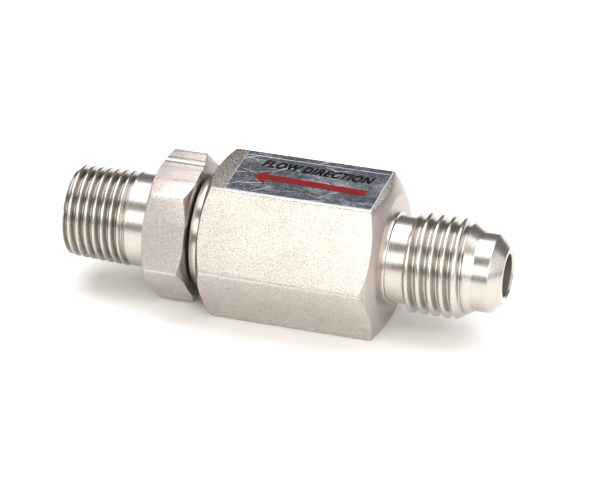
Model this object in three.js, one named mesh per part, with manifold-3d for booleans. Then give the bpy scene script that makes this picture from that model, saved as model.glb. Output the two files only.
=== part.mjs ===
// A dual check valve: a flare inlet (+X), a hexagonal body, and a taper-pipe outlet (-X).
// Two spring-loaded poppets stand one behind the other on the flow axis, which is the X axis.
// Millimetres, +Z up, origin on the flow axis midway between the two ends.
import * as THREE from "three";
import { mergeVertices } from "three/addons/utils/BufferGeometryUtils.js";
import Module from "manifold-3d";

const wasm = await Module();
wasm.setup();

// ---- overall sizes ----
const OVERALL_LENGTH = 48.6;
const BODY_FLATS = 15.875;
const CONNECTOR_FLATS = 14.2875;
const CONNECTOR_TURN_DEG = 9.5;

// ---- facets round a full turn ----
const OUTER_FACETS = 48;
const INNER_FACETS = 32;
const SMALL_FACETS = 20;
const RING_FACETS = 8;

// ---- clearances ----
const LOOSE_FIT = 0.05;
const STEM_CLEARANCE = 0.1;
const HEAD_CLEARANCE = 0.65;
const THREAD_RELIEF = 0.3;
const GLUE_LINE = 0.01;

// ---- flare inlet, +X end ----
const INLET_X = OVERALL_LENGTH / 2;
const FLARE_CONE_LENGTH = 1.3;
const FLARE_NOSE_LENGTH = 1.65;
const FLARE_THREAD_RUNOUT = 0.5;
const FLARE_THREAD_LENGTH = 6.9;
const FLARE_NECK_LENGTH = 2.2;
const FLARE_PITCH = 1.27;
const FLARE_CREST_RADIUS = 5.43;
const FLARE_NOSE_RADIUS = 4.25;
const THREAD_DEPTH_PER_PITCH = 0.61;
const CREST_FLAT_PER_PITCH = 0.3;
const INLET_BORE_RADIUS = 2.3;
const BORE_EDGE = 0.25;

// ---- body hexagon ----
const BODY_HEX_LENGTH = 19.8;
const BODY_CHAMFER_INLET = 1.25;
const BODY_CHAMFER_OUTLET = 0.89;
const HEX_CHAMFER_DEG = 29;
const HEX_EDGE_RADIUS = 0.35;
const COLLAR_LENGTH = 1.25;
const COLLAR_EDGE = 0.1;

// ---- outlet connector ----
const JOINT_GAP = 0.25;
const CONNECTOR_HEX_LENGTH = 4.7;
const CONNECTOR_CHAMFER_OUTLET = 0.6;
const CONNECTOR_CHAMFER_BODY = 0.5;
const SHANK_RADIUS = 5.07;
const PIPE_PITCH = 0.9407;
const PIPE_THREAD_LENGTH = 7.2;
const PIPE_END_RADIUS = 4.95;
const PIPE_TAPER = 1 / 32;
const PIPE_END_CHAMFER = 0.3;
const OUTLET_BORE_RADIUS = 2.6;

// ---- joint between connector and body ----
const SEAL_SECTION_RADIUS = 0.55;
const COLLAR_WALL = 0.8;
const PLUG_WALL = 0.85;
const PLUG_THREAD_DEPTH = 0.55;
const PLUG_THREAD_LENGTH = 6.2;
const PLUG_NOSE_LENGTH = 3.3;
const THREAD_START = 0.25;

// ---- check stages ----
const CHAMBER_RADIUS = 4.2;
const SEAT_LENGTH = 2.05;
const LIP_HEIGHT = 0.25;
const LIP_WIDTH = 0.4;
const STAGE_DEPTH = 5.6;
const WEB_THICKNESS = 1.2;
const TRAVEL = 1.2;
const SKIRT_WALL = 0.4;
const SEAT_RING_SECTION = 0.4;
const WINDOW_COUNT = 6;
const HEAD_THICKNESS = 1.4;
const SEAL_THICKNESS = 0.8;
const HEAD_RIM_SETBACK = 0.2;
const RIVET_HEAD_HEIGHT = 0.5;
const RIVET_SHANK_DEPTH = 2.0;
const STEM_SHORT_OF_WEB = 0.4;
const SPRING_TURNS = 5;
const SPRING_END_TURNS = 1;
const WIRE_ARC_SEGMENTS = 3;
const SPRING_STEPS_PER_TURN = 14;

// ---- flow label ----
const LABEL_LENGTH = 16.2;
const LABEL_WIDTH = 8.8;
const LABEL_THICKNESS = 0.08;
const LABEL_PAST_MIDDLE = 0.5;
const LABEL_CENTRE_Y = -0.05;
const INK_THICKNESS = 0.02;
const ARROW_LENGTH = 12.59;
const ARROW_PAST_MIDDLE = 0.305;
const ARROW_HEAD_LENGTH = 1.7;
const ARROW_HEAD_WIDTH = 3.15;
const ARROW_SHAFT_WIDTH = 1.15;
const ARROW_BELOW_MIDDLE = 0.95;
const LETTER_HEIGHT = 1.3;
const LETTER_WIDTH = 0.64;
const LETTER_STROKE = 0.18;
const LETTER_PITCH = 0.91;
const LETTERS_BEFORE_MIDDLE = 5.8;
const LETTERS_ABOVE_MIDDLE = 1.275;

// ---- positions along the flow axis ----
const NECK_INLET_X = INLET_X - FLARE_CONE_LENGTH - FLARE_NOSE_LENGTH
  - FLARE_THREAD_RUNOUT - FLARE_THREAD_LENGTH;
const BODY_HEX_INLET_X = NECK_INLET_X - FLARE_NECK_LENGTH;
const BODY_HEX_OUTLET_X = BODY_HEX_INLET_X - BODY_HEX_LENGTH;
const COLLAR_X = BODY_HEX_OUTLET_X - COLLAR_LENGTH;
const CONNECTOR_HEX_BODY_X = COLLAR_X - JOINT_GAP;
const CONNECTOR_HEX_OUTLET_X = CONNECTOR_HEX_BODY_X - CONNECTOR_HEX_LENGTH;
const OUTLET_X = -OVERALL_LENGTH / 2;
const PLUG_THREAD_START_X = CONNECTOR_HEX_BODY_X + 2 * SEAL_SECTION_RADIUS + THREAD_START;
const PLUG_THREAD_END_X = PLUG_THREAD_START_X + PLUG_THREAD_LENGTH;
const PLUG_NOSE_X = PLUG_THREAD_END_X + PLUG_NOSE_LENGTH;

// ---- radii of the joint, from the chamber outwards ----
const PLUG_NOSE_RADIUS = CHAMBER_RADIUS - LOOSE_FIT;
const PLUG_BORE_RADIUS = PLUG_NOSE_RADIUS - PLUG_WALL;
const PLUG_NECK_RADIUS = CHAMBER_RADIUS;
const PLUG_THREAD_RADIUS = PLUG_NECK_RADIUS + PLUG_THREAD_DEPTH;
const GLAND_RADIUS = PLUG_NECK_RADIUS + 2 * SEAL_SECTION_RADIUS;
const COLLAR_RADIUS = GLAND_RADIUS + COLLAR_WALL;

// ---- places on the labelled flat ----
const LABEL_CENTRE_X = (BODY_HEX_INLET_X + BODY_HEX_OUTLET_X) / 2 + LABEL_PAST_MIDDLE;
const ARROW_TIP_X = LABEL_CENTRE_X + ARROW_PAST_MIDDLE - ARROW_LENGTH / 2;
const ARROW_TAIL_X = ARROW_TIP_X + ARROW_LENGTH;
const ARROW_Y = LABEL_CENTRE_Y - ARROW_BELOW_MIDDLE;
const LETTERS_START_X = LABEL_CENTRE_X - LETTERS_BEFORE_MIDDLE;
const LETTERS_Y = LABEL_CENTRE_Y + LETTERS_ABOVE_MIDDLE;

const AXIS_X = new THREE.Vector3(1, 0, 0);
const AXIS_Y = new THREE.Vector3(0, 1, 0);
const AXIS_Z = new THREE.Vector3(0, 0, 1);
const TOP = BODY_FLATS / 2;

const STEEL = { color: 0xc9c1b6, roughness: 0.34, metalness: 1.0 };
const BODY_STEEL = { color: 0xd2c9bc, roughness: 0.42, metalness: 1.0 };
const SEAT_STEEL = { color: 0xb9b6b0, roughness: 0.3, metalness: 1.0 };
const SPRING_STEEL = { color: 0xa9a9a8, roughness: 0.25, metalness: 1.0 };
const POPPET_PLASTIC = { color: 0xe8e4d8, roughness: 0.5, metalness: 0.0 };
const CAGE_PLASTIC = { color: 0x2f4f6e, roughness: 0.5, metalness: 0.0 };
const RUBBER = { color: 0x1b1b1b, roughness: 0.8, metalness: 0.0 };
const FOIL = { color: 0x7d838b, roughness: 0.2, metalness: 1.0 };
const RED_INK = { color: 0x963030, roughness: 0.5, metalness: 0.0 };
const BLACK_INK = { color: 0x1d1d1f, roughness: 0.5, metalness: 0.0 };

// The closed solid of a geometry, with its shared vertices merged and its flat slivers dropped.
function solidOf(geometry) {
  const plain = geometry.index ? geometry.toNonIndexed() : geometry.clone();
  plain.deleteAttribute("normal");
  plain.deleteAttribute("uv");
  const merged = mergeVertices(plain, 1e-4);
  const index = merged.index.array;
  const kept = [];
  for (let i = 0; i < index.length; i += 3) {
    const [a, b, c] = [index[i], index[i + 1], index[i + 2]];
    if (a !== b && b !== c && c !== a) kept.push(a, b, c);
  }
  return new wasm.Manifold(new wasm.Mesh({
    numProp: 3,
    vertProperties: merged.attributes.position.array,
    triVerts: new Uint32Array(kept),
  }));
}

// The geometry of a solid.
function geometryOf(solid) {
  const mesh = solid.getMesh();
  const geometry = new THREE.BufferGeometry();
  geometry.setAttribute("position", new THREE.BufferAttribute(mesh.vertProperties, mesh.numProp));
  geometry.setIndex(new THREE.BufferAttribute(mesh.triVerts, 1));
  const faceted = geometry.toNonIndexed();
  faceted.computeVertexNormals();
  return faceted;
}

// A body turned about the flow axis from [x, radius] stations, given counter-clockwise.
function turned(stations, facets) {
  const points = stations.map(([x, radius]) => new THREE.Vector2(radius, x));
  const onAxis = points[0].x === 0 && points[points.length - 1].x === 0;
  if (!onAxis) points.push(points[0].clone());
  if (THREE.ShapeUtils.area(points) < 0) points.reverse();
  const lathe = new THREE.LatheGeometry(points, facets);
  return solidOf(lathe.rotateZ(-Math.PI / 2));
}

// A ring of round section about the flow axis, centred on x.
function roundRing(x, radius, section) {
  const stations = [];
  for (let i = 0; i < RING_FACETS; i += 1) {
    const angle = (2 * Math.PI * i) / RING_FACETS;
    stations.push([x + section * Math.cos(angle), radius + section * Math.sin(angle)]);
  }
  return turned(stations, INNER_FACETS);
}

// A hexagonal bar along the flow axis, its long edges rounded.
function hexBar(fromX, toX, flats, turnDeg) {
  const shape = new THREE.Shape();
  const corner = (flats / 2 - HEX_EDGE_RADIUS) / Math.cos(Math.PI / 6);
  const half = Math.PI / 6;
  for (let i = 0; i < 6; i += 1) {
    const angle = (Math.PI / 3) * i;
    const centreX = corner * Math.cos(angle);
    const centreY = corner * Math.sin(angle);
    shape.absarc(centreX, centreY, HEX_EDGE_RADIUS, angle - half, angle + half, false);
  }
  const bar = new THREE.ExtrudeGeometry(shape, {
    depth: toX - fromX,
    bevelEnabled: false,
    curveSegments: 3,
  });
  bar.applyMatrix4(new THREE.Matrix4().makeBasis(AXIS_Y, AXIS_Z, AXIS_X));
  bar.rotateX(THREE.MathUtils.degToRad(turnDeg));
  bar.translate(fromX, 0, 0);
  return solidOf(bar);
}

// A hexagonal bar whose corners are turned off at both ends.
function chamferedHex(fromX, toX, flats, turnDeg, chamferFrom, chamferTo) {
  const cornerRadius = flats / Math.sqrt(3);
  const slope = 1 / Math.tan(THREE.MathUtils.degToRad(HEX_CHAMFER_DEG));
  const cutter = turned([
    [fromX, 0],
    [fromX, cornerRadius - chamferFrom * slope],
    [fromX + chamferFrom, cornerRadius],
    [toX - chamferTo, cornerRadius],
    [toX, cornerRadius - chamferTo * slope],
    [toX, 0],
  ], OUTER_FACETS);
  return hexBar(fromX, toX, flats, turnDeg).intersect(cutter);
}

// Stations of a row of thread crests from one x to another, starting and ending in a root.
function threadStations(fromX, toX, radiusAt, pitch) {
  const turns = Math.floor((toX - fromX) / pitch);
  const depth = THREAD_DEPTH_PER_PITCH * pitch;
  const flat = CREST_FLAT_PER_PITCH * pitch;
  const stations = [[fromX, radiusAt(fromX) - depth]];
  for (let i = 0; i < turns; i += 1) {
    const crest = fromX + (i + 0.5) * pitch;
    stations.push([crest - flat / 2, radiusAt(crest)]);
    stations.push([crest + flat / 2, radiusAt(crest)]);
    const root = fromX + (i + 1) * pitch;
    stations.push([root, radiusAt(root) - depth]);
  }
  return stations;
}

function valveBody() {
  const threadFrom = NECK_INLET_X;
  const threadTo = threadFrom + FLARE_THREAD_LENGTH;
  const thread = threadStations(threadFrom, threadTo, () => FLARE_CREST_RADIUS, FLARE_PITCH);
  const noseX = threadTo + FLARE_THREAD_RUNOUT;
  const stem = turned([
    [BODY_HEX_INLET_X - HEX_EDGE_RADIUS, 0],
    [BODY_HEX_INLET_X - HEX_EDGE_RADIUS, thread[0][1] + BORE_EDGE],
    [BODY_HEX_INLET_X, thread[0][1] + BORE_EDGE],
    [BODY_HEX_INLET_X + BORE_EDGE, thread[0][1]],
    ...thread,
    [threadTo, thread[0][1]],
    [noseX, FLARE_NOSE_RADIUS],
    [INLET_X - FLARE_CONE_LENGTH, FLARE_NOSE_RADIUS],
    [INLET_X, FLARE_NOSE_RADIUS - FLARE_CONE_LENGTH],
    [INLET_X, 0],
  ], OUTER_FACETS);
  const collar = turned([
    [COLLAR_X, 0],
    [COLLAR_X, COLLAR_RADIUS - COLLAR_EDGE],
    [COLLAR_X + COLLAR_EDGE, COLLAR_RADIUS],
    [BODY_HEX_OUTLET_X + HEX_EDGE_RADIUS, COLLAR_RADIUS],
    [BODY_HEX_OUTLET_X + HEX_EDGE_RADIUS, 0],
  ], OUTER_FACETS);
  const hex = chamferedHex(BODY_HEX_OUTLET_X, BODY_HEX_INLET_X, BODY_FLATS, 0,
    BODY_CHAMFER_OUTLET, BODY_CHAMFER_INLET);
  const glandX = PLUG_THREAD_START_X - THREAD_START;
  const threadBoreRadius = PLUG_THREAD_RADIUS + LOOSE_FIT;
  const threadBoreX = PLUG_THREAD_END_X + THREAD_RELIEF;
  const bore = turned([
    [COLLAR_X - COLLAR_LENGTH, 0],
    [COLLAR_X - COLLAR_LENGTH, GLAND_RADIUS],
    [glandX, GLAND_RADIUS],
    [glandX, threadBoreRadius],
    [threadBoreX, threadBoreRadius],
    [threadBoreX, CHAMBER_RADIUS],
    [FIRST_STAGE.shoulderX, CHAMBER_RADIUS],
    [FIRST_STAGE.shoulderX, INLET_BORE_RADIUS],
    [INLET_X - BORE_EDGE, INLET_BORE_RADIUS],
    [INLET_X, INLET_BORE_RADIUS + BORE_EDGE],
    [INLET_X + BORE_EDGE, INLET_BORE_RADIUS + BORE_EDGE],
    [INLET_X + BORE_EDGE, 0],
  ], INNER_FACETS);
  return hex.add(stem).add(collar).subtract(bore);
}

function outletConnector() {
  const crestAt = (x) => PIPE_END_RADIUS + (x - OUTLET_X) * PIPE_TAPER;
  const depth = THREAD_DEPTH_PER_PITCH * PIPE_PITCH;
  const threadFrom = OUTLET_X + PIPE_END_CHAMFER;
  const thread = threadStations(threadFrom, OUTLET_X + PIPE_THREAD_LENGTH, crestAt, PIPE_PITCH);
  const lastX = thread[thread.length - 1][0];
  const shank = turned([
    [OUTLET_X, 0],
    [OUTLET_X, PIPE_END_RADIUS - depth],
    ...thread,
    [lastX + depth, SHANK_RADIUS],
    [CONNECTOR_HEX_OUTLET_X + HEX_EDGE_RADIUS, SHANK_RADIUS],
    [CONNECTOR_HEX_OUTLET_X + HEX_EDGE_RADIUS, 0],
  ], OUTER_FACETS);
  const hex = chamferedHex(CONNECTOR_HEX_OUTLET_X, CONNECTOR_HEX_BODY_X, CONNECTOR_FLATS,
    CONNECTOR_TURN_DEG, CONNECTOR_CHAMFER_OUTLET, CONNECTOR_CHAMFER_BODY);
  const plug = turned([
    [CONNECTOR_HEX_BODY_X - HEX_EDGE_RADIUS, 0],
    [CONNECTOR_HEX_BODY_X - HEX_EDGE_RADIUS, PLUG_NECK_RADIUS],
    [PLUG_THREAD_START_X, PLUG_NECK_RADIUS],
    [PLUG_THREAD_START_X + PLUG_THREAD_DEPTH, PLUG_THREAD_RADIUS],
    [PLUG_THREAD_END_X - PLUG_THREAD_DEPTH, PLUG_THREAD_RADIUS],
    [PLUG_THREAD_END_X, PLUG_NOSE_RADIUS],
    [PLUG_NOSE_X, PLUG_NOSE_RADIUS],
    [PLUG_NOSE_X, 0],
  ], INNER_FACETS);
  const bore = turned([
    [OUTLET_X - BORE_EDGE, 0],
    [OUTLET_X - BORE_EDGE, OUTLET_BORE_RADIUS + BORE_EDGE],
    [OUTLET_X, OUTLET_BORE_RADIUS + BORE_EDGE],
    [OUTLET_X + BORE_EDGE, OUTLET_BORE_RADIUS],
    [SECOND_STAGE.webX - WEB_THICKNESS, OUTLET_BORE_RADIUS],
    [SECOND_STAGE.webX - WEB_THICKNESS, PLUG_BORE_RADIUS],
    [PLUG_NOSE_X + BORE_EDGE, PLUG_BORE_RADIUS],
    [PLUG_NOSE_X + BORE_EDGE, 0],
  ], INNER_FACETS);
  return hex.add(shank).add(plug).subtract(bore);
}

function connectorRing() {
  const radius = PLUG_NECK_RADIUS + SEAL_SECTION_RADIUS;
  return roundRing(CONNECTOR_HEX_BODY_X + SEAL_SECTION_RADIUS, radius, SEAL_SECTION_RADIUS);
}

// The sizes of one check stage that follow from the radius it sits in and where it begins.
function stage(shoulderX, pocketRadius, seatBore, stemRadius, wireRadius) {
  const sealX = shoulderX - SEAT_LENGTH - LIP_HEIGHT;
  const outer = pocketRadius - LOOSE_FIT;
  const skirtBore = outer - SKIRT_WALL;
  const headRadius = skirtBore - HEAD_CLEARANCE;
  const shoulderRadius = stemRadius * 1.5;
  return {
    shoulderX,
    pocketRadius,
    sealX,
    outer,
    seatBore,
    skirtBore,
    headRadius,
    stemRadius,
    shoulderRadius,
    wireRadius,
    sealRadius: headRadius - 0.2,
    rivetRadius: seatBore * 0.6,
    rivetShankRadius: stemRadius * 0.7,
    webX: sealX - STAGE_DEPTH + WEB_THICKNESS,
    springRadius: (shoulderRadius + headRadius) / 2,
    windowRadius: (skirtBore - stemRadius - STEM_CLEARANCE) * 0.27,
  };
}

const FIRST_STAGE = stage(
  PLUG_NOSE_X + STAGE_DEPTH + LIP_HEIGHT + SEAT_LENGTH, CHAMBER_RADIUS, 2.2, 0.9, 0.125);
const SECOND_STAGE = stage(PLUG_NOSE_X, PLUG_BORE_RADIUS, 1.5, 0.75, 0.11);

function seat(s) {
  const grooveX = s.shoulderX - SEAT_LENGTH / 2;
  const grooveFloor = s.pocketRadius - 2 * SEAT_RING_SECTION;
  return turned([
    [s.shoulderX, s.seatBore],
    [s.shoulderX, s.outer],
    [grooveX + SEAT_RING_SECTION, s.outer],
    [grooveX + SEAT_RING_SECTION, grooveFloor],
    [grooveX - SEAT_RING_SECTION, grooveFloor],
    [grooveX - SEAT_RING_SECTION, s.outer],
    [s.sealX + LIP_HEIGHT, s.outer],
    [s.sealX + LIP_HEIGHT, s.seatBore + LIP_WIDTH + LIP_HEIGHT],
    [s.sealX, s.seatBore + LIP_WIDTH],
    [s.sealX, s.seatBore],
  ], INNER_FACETS);
}

function seatRing(s) {
  const radius = s.pocketRadius - SEAT_RING_SECTION;
  return roundRing(s.shoulderX - SEAT_LENGTH / 2, radius, SEAT_RING_SECTION);
}

// The cage stands on the seat's outer edge, and its web guides the poppet's stem.
function cage(s) {
  const hub = s.stemRadius + STEM_CLEARANCE;
  const backX = s.webX - WEB_THICKNESS;
  const cup = turned([
    [s.sealX + LIP_HEIGHT, s.skirtBore],
    [s.sealX + LIP_HEIGHT, s.outer],
    [backX, s.outer],
    [backX, hub],
    [s.webX, hub],
    [s.webX, s.skirtBore],
  ], INNER_FACETS);
  const reach = (hub + s.skirtBore) / 2;
  let windows = null;
  for (let i = 0; i < WINDOW_COUNT; i += 1) {
    const angle = (2 * Math.PI * (i + 0.5)) / WINDOW_COUNT;
    const tool = new THREE.CylinderGeometry(
      s.windowRadius, s.windowRadius, WEB_THICKNESS * 2, SMALL_FACETS / 2);
    tool.rotateZ(-Math.PI / 2);
    tool.translate(s.webX - WEB_THICKNESS / 2, reach * Math.cos(angle), reach * Math.sin(angle));
    windows = windows ? windows.add(solidOf(tool)) : solidOf(tool);
  }
  return cup.subtract(windows);
}

// The poppet's cupped head faces the seat, and a step on its stem stops it against the web.
function poppet(s) {
  const floorX = s.sealX - SEAL_THICKNESS;
  const backX = s.sealX - HEAD_THICKNESS;
  const endX = s.webX - WEB_THICKNESS + STEM_SHORT_OF_WEB;
  return turned([
    [endX, 0],
    [endX, s.stemRadius],
    [s.webX + TRAVEL, s.stemRadius],
    [s.webX + TRAVEL, s.shoulderRadius],
    [backX, s.shoulderRadius],
    [backX, s.headRadius],
    [s.sealX - HEAD_RIM_SETBACK, s.headRadius],
    [s.sealX - HEAD_RIM_SETBACK, s.sealRadius],
    [floorX, s.sealRadius],
    [floorX, s.rivetShankRadius],
    [s.sealX - RIVET_SHANK_DEPTH, s.rivetShankRadius],
    [s.sealX - RIVET_SHANK_DEPTH, 0],
  ], SMALL_FACETS);
}

function poppetSeal(s) {
  return turned([
    [s.sealX - SEAL_THICKNESS, s.rivetShankRadius],
    [s.sealX, s.rivetShankRadius],
    [s.sealX, s.sealRadius],
    [s.sealX - SEAL_THICKNESS, s.sealRadius],
  ], SMALL_FACETS);
}

// The rivet clamps the seal into the head.
function sealRivet(s) {
  return turned([
    [s.sealX - RIVET_SHANK_DEPTH, 0],
    [s.sealX - RIVET_SHANK_DEPTH, s.rivetShankRadius],
    [s.sealX, s.rivetShankRadius],
    [s.sealX, s.rivetRadius],
    [s.sealX + RIVET_HEAD_HEIGHT / 2, s.rivetRadius],
    [s.sealX + RIVET_HEAD_HEIGHT, s.rivetRadius / 2],
    [s.sealX + RIVET_HEAD_HEIGHT, 0],
  ], SMALL_FACETS);
}

// A compression spring's centre line, its first and last turns closed up.
class SpringCurve extends THREE.Curve {
  constructor(fromX, toX, radius, wireRadius) {
    super();
    this.fromX = fromX;
    this.toX = toX;
    this.radius = radius;
    this.endRise = SPRING_END_TURNS * wireRadius * 2.2;
  }

  getPoint(t, target = new THREE.Vector3()) {
    const turn = t * SPRING_TURNS;
    const open = SPRING_TURNS - 2 * SPRING_END_TURNS;
    const span = this.toX - this.fromX;
    const opened = THREE.MathUtils.clamp((turn - SPRING_END_TURNS) / open, 0, 1);
    const closed = (turn - opened * open) / SPRING_END_TURNS;
    const along = closed * this.endRise + opened * (span - 2 * this.endRise);
    const angle = 2 * Math.PI * turn;
    return target.set(
      this.fromX + along, this.radius * Math.cos(angle), this.radius * Math.sin(angle));
  }
}

function spring(s) {
  const backX = s.sealX - HEAD_THICKNESS;
  const curve = new SpringCurve(
    s.webX + s.wireRadius, backX - s.wireRadius, s.springRadius, s.wireRadius);
  const wire = new THREE.Shape();
  wire.absarc(0, 0, s.wireRadius, 0, 2 * Math.PI, false);
  return solidOf(new THREE.ExtrudeGeometry(wire, {
    steps: SPRING_TURNS * SPRING_STEPS_PER_TURN,
    curveSegments: WIRE_ARC_SEGMENTS,
    extrudePath: curve,
  }));
}

// A flat piece of an outline in the XY plane, standing from one height up by a thickness.
function flatPiece(shape, fromZ, thickness) {
  const piece = new THREE.ExtrudeGeometry(shape, {
    depth: thickness,
    bevelEnabled: false,
    curveSegments: 6,
  });
  return solidOf(piece.translate(0, 0, fromZ));
}

function flowLabel() {
  const foil = new THREE.BoxGeometry(LABEL_LENGTH, LABEL_WIDTH, LABEL_THICKNESS);
  const height = TOP + GLUE_LINE + LABEL_THICKNESS / 2;
  return solidOf(foil.translate(LABEL_CENTRE_X, LABEL_CENTRE_Y, height));
}

function flowArrow() {
  const neckX = ARROW_TIP_X + ARROW_HEAD_LENGTH;
  const shape = new THREE.Shape([
    new THREE.Vector2(ARROW_TIP_X, ARROW_Y),
    new THREE.Vector2(neckX, ARROW_Y - ARROW_HEAD_WIDTH / 2),
    new THREE.Vector2(neckX, ARROW_Y - ARROW_SHAFT_WIDTH / 2),
    new THREE.Vector2(ARROW_TAIL_X, ARROW_Y - ARROW_SHAFT_WIDTH / 2),
    new THREE.Vector2(ARROW_TAIL_X, ARROW_Y + ARROW_SHAFT_WIDTH / 2),
    new THREE.Vector2(neckX, ARROW_Y + ARROW_SHAFT_WIDTH / 2),
    new THREE.Vector2(neckX, ARROW_Y + ARROW_HEAD_WIDTH / 2),
  ]);
  return flatPiece(shape, TOP + GLUE_LINE + LABEL_THICKNESS, INK_THICKNESS);
}

// The strokes that block letters are made of, as [x, y, width, height] from a letter's foot.
const STROKES = {
  left: [0, 0, LETTER_STROKE, LETTER_HEIGHT],
  right: [LETTER_WIDTH - LETTER_STROKE, 0, LETTER_STROKE, LETTER_HEIGHT],
  centre: [(LETTER_WIDTH - LETTER_STROKE) / 2, 0, LETTER_STROKE, LETTER_HEIGHT],
  top: [0, LETTER_HEIGHT - LETTER_STROKE, LETTER_WIDTH, LETTER_STROKE],
  foot: [0, 0, LETTER_WIDTH, LETTER_STROKE],
  middle: [0, (LETTER_HEIGHT - LETTER_STROKE) / 2, LETTER_WIDTH, LETTER_STROKE],
  shoulder: [LETTER_WIDTH - LETTER_STROKE, LETTER_HEIGHT / 2, LETTER_STROKE, LETTER_HEIGHT / 2],
  leg: [(LETTER_WIDTH - LETTER_STROKE) / 2, 0, LETTER_STROKE, LETTER_HEIGHT / 2],
};
const LETTERS = {
  F: ["left", "top", "middle"],
  L: ["left", "foot"],
  O: ["left", "right", "top", "foot"],
  W: ["left", "right", "foot", "leg"],
  D: ["left", "right", "top", "foot"],
  I: ["centre"],
  R: ["left", "top", "middle", "shoulder", "leg"],
  E: ["left", "top", "middle", "foot"],
  C: ["left", "top", "foot"],
  T: ["centre", "top"],
  N: ["left", "right", "top"],
};
const WORDS = "FLOW DIRECTION";

function inkBar(x, [strokeX, strokeY, width, height]) {
  return wasm.CrossSection.square([width, height]).translate([x + strokeX, LETTERS_Y + strokeY]);
}

// The words, their letters joined by a rule underneath.
function flowWord() {
  const ruleLength = (WORDS.length - 1) * LETTER_PITCH + LETTER_WIDTH;
  const bars = [inkBar(LETTERS_START_X, [0, -LETTER_STROKE, ruleLength, LETTER_STROKE * 1.5])];
  [...WORDS].forEach((letter, i) => {
    for (const stroke of LETTERS[letter] ?? []) {
      bars.push(inkBar(LETTERS_START_X + i * LETTER_PITCH, STROKES[stroke]));
    }
  });
  return wasm.CrossSection.union(bars)
    .extrude(INK_THICKNESS)
    .translate([0, 0, TOP + GLUE_LINE + LABEL_THICKNESS]);
}

const valve = new THREE.Group();

function place(name, solid, finish) {
  const mesh = new THREE.Mesh(geometryOf(solid), new THREE.MeshStandardMaterial(finish));
  mesh.name = name;
  valve.add(mesh);
}

place("valve_body", valveBody(), BODY_STEEL);
place("outlet_connector", outletConnector(), STEEL);
place("connector_o_ring", connectorRing(), RUBBER);
for (const [order, s] of [["first", FIRST_STAGE], ["second", SECOND_STAGE]]) {
  place(`${order}_seat`, seat(s), SEAT_STEEL);
  place(`${order}_seat_o_ring`, seatRing(s), RUBBER);
  place(`${order}_poppet`, poppet(s), POPPET_PLASTIC);
  place(`${order}_poppet_seal`, poppetSeal(s), RUBBER);
  place(`${order}_seal_rivet`, sealRivet(s), SEAT_STEEL);
  place(`${order}_spring`, spring(s), SPRING_STEEL);
  place(`${order}_cage`, cage(s), CAGE_PLASTIC);
}
place("flow_label", flowLabel(), FOIL);
place("flow_arrow", flowArrow(), RED_INK);
place("flow_word", flowWord(), BLACK_INK);

export default valve;
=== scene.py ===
import math

import bmesh
import bpy
from mathutils import Matrix, Vector


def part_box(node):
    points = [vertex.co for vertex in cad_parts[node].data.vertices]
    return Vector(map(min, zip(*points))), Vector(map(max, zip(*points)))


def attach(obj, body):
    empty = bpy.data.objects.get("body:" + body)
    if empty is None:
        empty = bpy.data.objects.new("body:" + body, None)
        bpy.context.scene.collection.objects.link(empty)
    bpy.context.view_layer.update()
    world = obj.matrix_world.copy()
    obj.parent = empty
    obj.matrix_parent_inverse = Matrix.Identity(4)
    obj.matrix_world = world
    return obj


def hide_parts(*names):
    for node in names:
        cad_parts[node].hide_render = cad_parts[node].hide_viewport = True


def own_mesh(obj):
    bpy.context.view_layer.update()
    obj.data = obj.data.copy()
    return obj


bl_info = {
    "name": "Dual Check Valve",
    "version": (1, 0, 0),
    "blender": (4, 5, 0),
    "location": "3D View > Sidebar > Check Valve",
    "description": "Builds the finished looks of a dual check valve round its fixed frame",
    "category": "Object",
}

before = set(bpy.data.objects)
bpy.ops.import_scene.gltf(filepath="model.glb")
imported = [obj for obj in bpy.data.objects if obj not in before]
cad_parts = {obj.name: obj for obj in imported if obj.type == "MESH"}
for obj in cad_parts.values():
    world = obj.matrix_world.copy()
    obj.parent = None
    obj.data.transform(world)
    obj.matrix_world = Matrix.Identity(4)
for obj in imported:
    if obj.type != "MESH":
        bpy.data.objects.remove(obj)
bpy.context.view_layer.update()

MM = 0.001
HOUSING = "housing"
STAGES = ("first", "second")
WELD = 2e-7
FLOW_AXIS = (1, 0, 0)
FULL_TURN = 2 * math.pi
PRINT_LEAN = math.radians(-2.4)
PIPE_TAPER = 1 / 32
HEX_CREASE, THREAD_CREASE, LABEL_CREASE = 22, 50, 12
WATTS_PER_AREA = 4

# The slot and the node of the pieces that make up one solid part.
BODY = ("body_steel", "valve_body")
CONNECTOR = ("connector_steel", "outlet_connector")
LABEL = ("label_foil", "flow_label")

# Fits: how far a bore's painted shade reaches past the bore, the run of one shell into the next,
# and the gaps between parts.
BORE_SHADE_REACH = 0.03 * MM
LAP = 0.3 * MM
TUCK = 0.2 * MM
SLIP = 0.05 * MM
HAIR = 0.01 * MM

BODY_LOW, BODY_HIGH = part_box("valve_body")
CONNECTOR_LOW, CONNECTOR_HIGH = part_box("outlet_connector")
JOINT_RING_LOW, JOINT_RING_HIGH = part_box("connector_o_ring")
LABEL_LOW, LABEL_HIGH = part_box("flow_label")
ARROW_LOW, ARROW_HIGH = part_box("flow_arrow")
WORD_LOW, WORD_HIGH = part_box("flow_word")
FLATS = BODY_HIGH.z - BODY_LOW.z


# ---- sizes and colours ----


def length(name, description, millimetres):
    """A length that the user may change, given in millimetres."""
    return bpy.props.FloatProperty(
        name=name, description=description, default=millimetres * MM, unit="LENGTH", precision=5
    )


def angle(name, description, degrees):
    """An angle that the user may change, given in degrees."""
    return bpy.props.FloatProperty(
        name=name, description=description, default=math.radians(degrees), subtype="ANGLE"
    )


def colour(name, description, *rgb):
    """A linear colour that the user may change."""
    return bpy.props.FloatVectorProperty(
        name=name, description=description, default=rgb, subtype="COLOR", min=0.0, max=1.0
    )


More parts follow.
